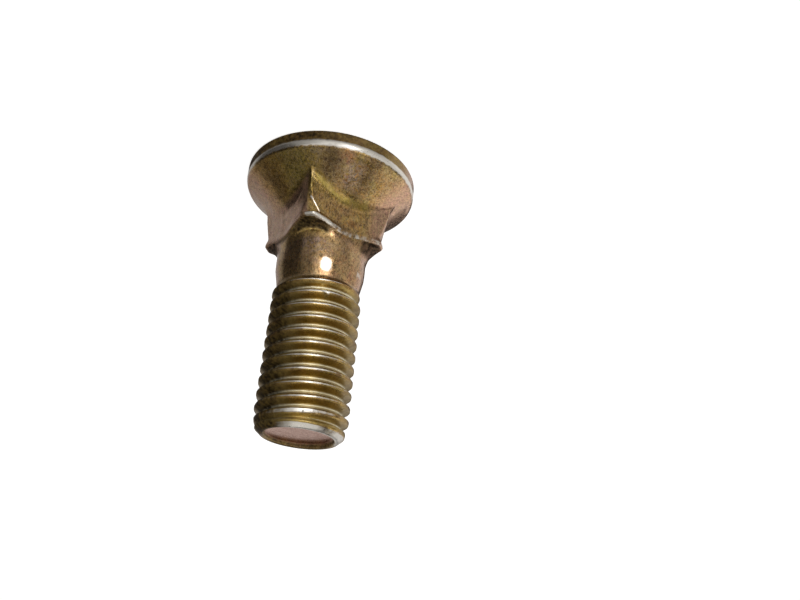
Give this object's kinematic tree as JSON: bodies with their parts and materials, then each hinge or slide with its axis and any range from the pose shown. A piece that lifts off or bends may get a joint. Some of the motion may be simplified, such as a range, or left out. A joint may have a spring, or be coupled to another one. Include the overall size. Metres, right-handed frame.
{
  "type": "plow bolt",
  "caption": "Countersunk plow bolt with a flat round head, a square neck, a short plain shank and a coarse right-hand thread, in yellow zinc plating.",
  "frame": {"origin": "centre of the flat head face, which the bolt stands on", "axes": "+Z along the bolt from the head to the threaded end; X and Y square to the flats of the neck"},
  "size_m": [0.0318, 0.0318, 0.0508],
  "materials": {
    "yellow_zinc": "yellow zinc dichromate plating over forged steel: golden olive and brown with pink and green iridescence, worn bright on the edges and crests"
  },
  "bodies": {
    "root": {"bolt": "yellow_zinc"}
  },
  "joints": []
}
